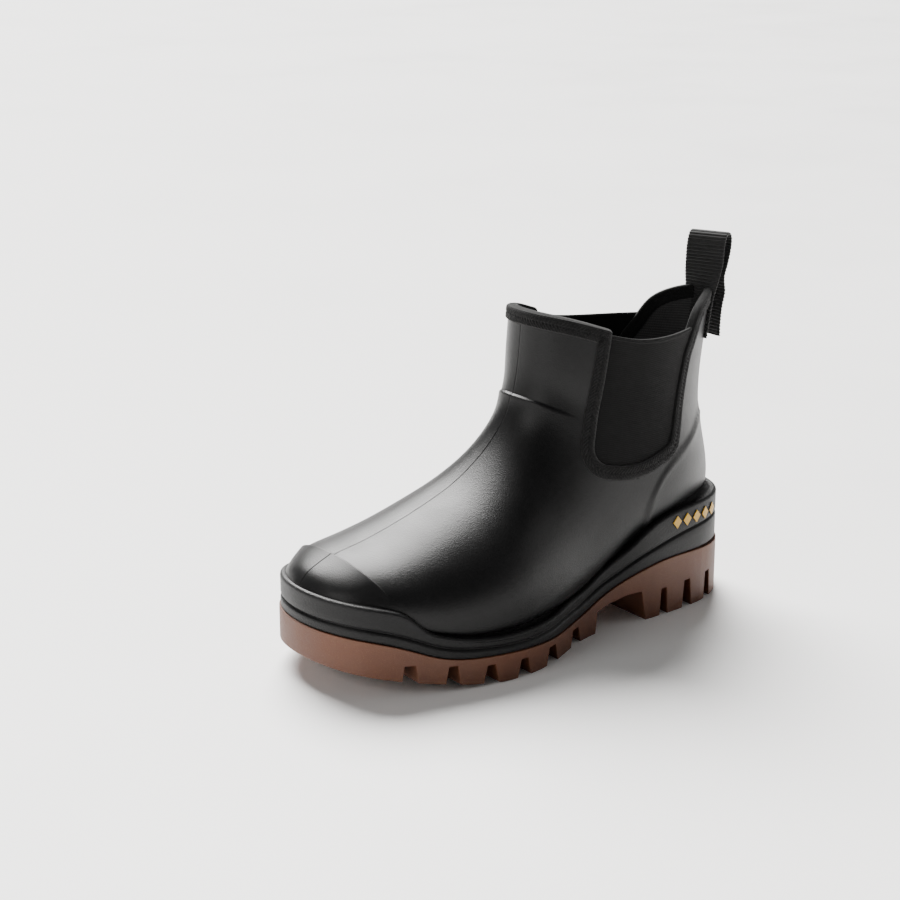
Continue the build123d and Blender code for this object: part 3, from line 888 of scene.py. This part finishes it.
class Look:
    """A procedural material under construction, with short calls for its nodes."""

    def __init__(self, name, **settings):
        self.material = bpy.data.materials.new(name)
        self.material.use_nodes = True
        self.tree = self.material.node_tree
        self.shader = self.tree.nodes["Principled BSDF"]
        for socket, value in settings.items():
            self.shader.inputs[socket.replace("_", " ")].default_value = value

    def node(self, kind, settings=None, **inputs):
        made = self.tree.nodes.new(kind)
        for key, value in (settings or {}).items():
            setattr(made, key, value)
        for key, value in inputs.items():
            numbered = key[0] == "i" and key[1:].isdigit()
            self.set(made.inputs[int(key[1:]) if numbered else key.replace("_", " ")], value)
        return made

    def set(self, socket, value):
        if isinstance(value, bpy.types.NodeSocket):
            self.tree.links.new(value, socket)
        else:
            socket.default_value = value

    def place(self, output="Object"):
        return self.node("ShaderNodeTexCoord").outputs[output]

    def math(self, operation, first, second=0.0):
        return self.node("ShaderNodeMath", {"operation": operation}, i0=first, i1=second).outputs[0]

    def noise(self, scale, detail=4.0, roughness=0.6):
        made = self.node("ShaderNodeTexNoise", Scale=scale, Detail=detail, Roughness=roughness,
                         Vector=self.place())
        return made.outputs["Fac"]

    def cells(self, scale):
        made = self.node("ShaderNodeTexVoronoi", Scale=scale, Vector=self.place())
        return made.outputs["Distance"]

    def ramp(self, value, low, high, out_low=0.0, out_high=1.0):
        made = self.node("ShaderNodeMapRange", i0=value, i1=low, i2=high, i3=out_low, i4=out_high)
        return made.outputs[0]

    def mix(self, share, first, second):
        made = self.node("ShaderNodeMix", {"data_type": "RGBA"})
        self.set(made.inputs[0], share)
        self.set(made.inputs[6], first)
        self.set(made.inputs[7], second)
        return made.outputs[2]

    def bump(self, height, distance, strength=1.0, under=None):
        made = self.node("ShaderNodeBump", Height=height, Distance=distance, Strength=strength)
        if under is not None:
            self.set(made.inputs["Normal"], under)
        return made.outputs["Normal"]

    def finish(self, **sockets):
        for socket, value in sockets.items():
            self.set(self.shader.inputs[socket.replace("_", " ")], value)
        return self.material


def grey(value, tint=(1.0, 1.0, 1.0)):
    """Colour of one brightness, with a slight tint."""
    return (*(value * t for t in tint), 1.0)


def moulded_black(name, tone, roughness, grain, depth):
    """Moulded rubber: fine pebble grain, faint flow marks, and a painted highlight that colours raised edges
    lighter.
    """
    look = Look(name, IOR=1.5, Specular_IOR_Level=0.22)
    pebble = look.cells(grain)
    dust = look.noise(35.0, 5.0)
    fine = look.noise(2600.0, 3.0)
    # painted highlight: pointy raised edges are picked out here to be coloured lighter, standing in for the
    # light they catch
    edges = look.ramp(look.node("ShaderNodeNewGeometry").outputs["Pointiness"], 0.515, 0.56)
    dark, light = grey(tone * 0.85, (1, 1, 1.05)), grey(tone * 1.25, (1, 1, 1.04))
    colour = look.mix(look.ramp(dust, 0.35, 0.7), dark, light)
    # painted highlight: the raised edges are mixed towards a lighter grey
    colour = look.mix(look.math("MULTIPLY", edges, 0.35), colour, grey(tone * 2.6))
    rough = look.math("ADD", look.ramp(dust, 0.3, 0.7, roughness - 0.03, roughness + 0.05),
                      look.ramp(fine, 0.3, 0.7, -0.02, 0.03))
    flow = look.bump(look.noise(90.0, 2.0), 0.0003, 0.25)
    surface_normal = look.bump(look.math("ADD", pebble, look.math("MULTIPLY", fine, 0.6)), depth, 0.6, flow)
    return look.finish(Base_Color=colour, Roughness=rough, Normal=surface_normal)


def gum_rubber():
    """Brown gum rubber with light and dark specks and a painted highlight that colours its edges lighter."""
    look = Look("gum_rubber", IOR=1.5)
    broad = look.noise(18.0, 4.0)
    specks = look.noise(1500.0, 2.0, 0.8)
    crumbs = look.cells(900.0)
    # painted highlight: pointy edges are picked out here to be coloured lighter, standing in for the light
    # they catch
    edges = look.ramp(look.node("ShaderNodeNewGeometry").outputs["Pointiness"], 0.51, 0.58)
    colour = look.mix(look.ramp(broad, 0.35, 0.68), (0.085, 0.026, 0.009, 1), (0.112, 0.036, 0.013, 1))
    colour = look.mix(look.ramp(specks, 0.58, 0.72, 0, 0.55), colour, (0.20, 0.09, 0.045, 1))
    colour = look.mix(look.ramp(crumbs, 0.16, 0.06, 0, 0.6), colour, (0.045, 0.017, 0.010, 1))
    # painted highlight: the edges are mixed towards a lighter brown
    colour = look.mix(look.math("MULTIPLY", edges, 0.3), colour, (0.22, 0.10, 0.05, 1))
    relief_normal = look.bump(look.math("ADD", specks, look.noise(420.0, 3.0)), 0.00022, 0.55)
    rough = look.ramp(broad, 0.3, 0.7, 0.5, 0.62)
    return look.finish(Base_Color=colour, Roughness=rough, Normal=relief_normal)


def yellow_rubber():
    """Matte yellow of the raised heel marks."""
    look = Look("yellow_rubber", IOR=1.5)
    broad = look.noise(120.0, 3.0)
    colour = look.mix(broad, (0.50, 0.27, 0.012, 1), (0.62, 0.36, 0.02, 1))
    rough = look.ramp(broad, 0.3, 0.7, 0.36, 0.5)
    return look.finish(Base_Color=colour, Roughness=rough, Normal=look.bump(look.noise(1800.0), 0.0001, 0.4))


def yarns(look, across_pitch, along_pitch):
    """Height of a plain weave on the flat map, each row half a thread further along."""
    flat = look.node("ShaderNodeSeparateXYZ", Vector=look.place("UV"))
    u = look.math("MULTIPLY", flat.outputs[0], 2 * pi / (across_pitch * MM))
    v = look.math("MULTIPLY", flat.outputs[1], 2 * pi / (along_pitch * MM))
    row_shift = look.math("MULTIPLY", look.math("FLOOR", look.math("DIVIDE", v, 2 * pi)), pi)
    over = look.math("SINE", look.math("ADD", u, row_shift))
    thread = look.math("ABSOLUTE", look.math("SINE", look.math("MULTIPLY", v, 0.5)))
    return look.math("MULTIPLY", look.ramp(over, -1, 1, 0.35, 1), thread)


def fabric(name, dark, light, across_pitch, along_pitch, depth, sheen=0.25):
    """Woven or knitted black cloth with visible threads, fuzz and worn colour."""
    look = Look(name, Sheen_Weight=sheen, Sheen_Roughness=0.5, Specular_IOR_Level=0.14)
    weave = yarns(look, across_pitch, along_pitch)
    fuzz = look.noise(1400.0, 4.0, 0.7)
    worn = look.noise(40.0, 4.0)
    share = look.math("MULTIPLY", weave, look.ramp(fuzz, 0.25, 0.75, 0.55, 1.15))
    colour = look.mix(share, grey(dark), grey(light))
    colour = look.mix(look.ramp(worn, 0.45, 0.8, 0, 0.3), colour, grey(light * 1.25))
    height = look.math("ADD", weave, look.math("MULTIPLY", fuzz, 0.35))
    rough = look.ramp(fuzz, 0.2, 0.8, 0.75, 0.93)
    return look.finish(Base_Color=colour, Roughness=rough, Normal=look.bump(height, depth, 0.8))


def fibre_board():
    """Pale board with visible fibres, under the insole."""
    look = Look("fibre_board")
    fibres = look.noise(600.0, 6.0, 0.7)
    colour = look.mix(look.ramp(fibres, 0.35, 0.65), (0.16, 0.12, 0.085, 1), (0.30, 0.24, 0.17, 1))
    return look.finish(Base_Color=colour, Roughness=look.ramp(fibres, 0.3, 0.7, 0.75, 0.92),
                       Normal=look.bump(fibres, 0.0002, 0.6))


def foam():
    """Dark fine-celled foam."""
    look = Look("foam")
    pores = look.cells(1100.0)
    colour = look.mix(look.ramp(pores, 0.1, 0.5), grey(0.045), grey(0.11))
    return look.finish(Base_Color=colour, Roughness=look.ramp(pores, 0.1, 0.6, 0.8, 0.95),
                       Normal=look.bump(pores, 0.0003, 0.7))


# ---- studio

def floor_look():
    look = Look("pale_floor", Specular_IOR_Level=0.3)
    cloud = look.noise(3.0, 3.0)
    colour = look.mix(cloud, (0.93, 0.925, 0.92, 1), (0.97, 0.965, 0.96, 1))
    return look.finish(Base_Color=colour, Roughness=look.ramp(cloud, 0.3, 0.7, 0.45, 0.6),
                       Normal=look.bump(look.noise(300.0), 0.0001, 0.2))


def make_floor():
    """Flat floor that reaches far past the picture's edges."""
    mesh = bpy.data.meshes.new("floor")
    reach = 8.0
    mesh.from_pydata([(-reach, -reach, 0), (reach, -reach, 0), (reach, reach, 0), (-reach, reach, 0)],
                     [], [(0, 1, 2, 3)])
    mesh.materials.append(floor_look())
    add_object("floor", mesh)


def make_light(name, place, size, power):
    """Rectangular soft light that points at the middle of the boot."""
    lamp = bpy.data.lights.new(name, "AREA")
    lamp.shape = "RECTANGLE"
    lamp.size, lamp.size_y = size
    lamp.energy = power
    lamp.color = (1.0, 0.985, 0.965)
    light = add_object(name, lamp)
    light.location = place
    boot_middle = Vector((0, 0, 0.09))
    direction = boot_middle - Vector(place)
    light.rotation_euler = direction.to_track_quat("-Z", "Y").to_euler()


def make_studio():
    """Pale floor, a broad key light from behind, two soft lights and a white surround."""
    make_floor()
    key = bpy.data.lights.new("overhead_key", "SUN")
    key.energy = 13
    key.angle = radians(40)
    key.color = (1.0, 0.99, 0.975)
    lamp = add_object("overhead_key", key)
    lamp.rotation_euler = Vector((-0.64, 0.22, 0.74)).to_track_quat("Z", "Y").to_euler()
    make_light("back_softbox", (0.7, 1.3, 0.6), (0.8, 0.7), 2.2)
    make_light("front_softbox", (0.1, -1.6, 0.8), (0.8, 0.8), 9)
    world = bpy.data.worlds.new("studio")
    world.use_nodes = True
    background = world.node_tree.nodes["Background"].inputs
    background["Color"].default_value = (1.0, 1.0, 1.0, 1.0)
    background["Strength"].default_value = 0.15
    bpy.context.scene.world = world


def make_camera():
    """Camera above the outer side of the toe, tipped 17 degrees down."""
    lens = bpy.data.cameras.new("camera")
    lens.lens = 80.0
    lens.sensor_width = 36.0
    camera = add_object("camera", lens)
    camera.location = (0.8624, -0.6854, 0.4469)
    down, around = 17.2, 53.9
    camera.rotation_euler = (radians(90 - down), 0, radians(around))
    bpy.context.scene.camera = camera


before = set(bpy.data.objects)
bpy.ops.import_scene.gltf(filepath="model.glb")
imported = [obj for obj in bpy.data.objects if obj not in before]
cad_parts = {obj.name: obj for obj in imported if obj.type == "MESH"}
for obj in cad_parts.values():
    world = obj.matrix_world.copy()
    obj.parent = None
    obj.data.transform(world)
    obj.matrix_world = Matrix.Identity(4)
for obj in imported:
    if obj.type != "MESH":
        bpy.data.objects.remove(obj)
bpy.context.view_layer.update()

upper_look = moulded_black("black_upper", 0.004, 0.36, 1500.0, 0.00012)
rand_look = moulded_black("black_rubber", 0.005, 0.46, 1100.0, 0.0002)
make_upper(upper_look)
make_rand(rand_look)
rounded_copy("outsole", "gum_outsole", 0.55, gum_rubber())
rounded_copy("heel_marks", "heel_diamonds", 0.18, yellow_rubber())
make_edge_tape(fabric("edge_tape", 0.0015, 0.016, 0.8, 0.8, 0.0004, sheen=0.12))
elastic_look = fabric("elastic", 0.0015, 0.008, 0.8, RIB_PITCH, 0.0002, sheen=0.04)
make_gusset(1, "elastic_outer", "gusset_outer", elastic_look)
make_gusset(-1, "elastic_inner", "gusset_inner", elastic_look)
make_lining(fabric("knit_lining", 0.02, 0.075, 1.1, 0.9, 0.0003, sheen=0.4))
make_seam_tape(fabric("seam_tape", 0.012, 0.04, 0.6, 0.6, 0.00015))
make_pull_loop(fabric("webbing", 0.004, 0.018, 1.0, WEB_RIB / 2, 0.0002))
make_insole(foam(), fabric("insole_fabric", 0.025, 0.085, 0.9, 0.9, 0.0002))
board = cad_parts["footbed_board"]
board.data.materials.clear()
board.data.materials.append(fibre_board())

make_studio()
make_camera()
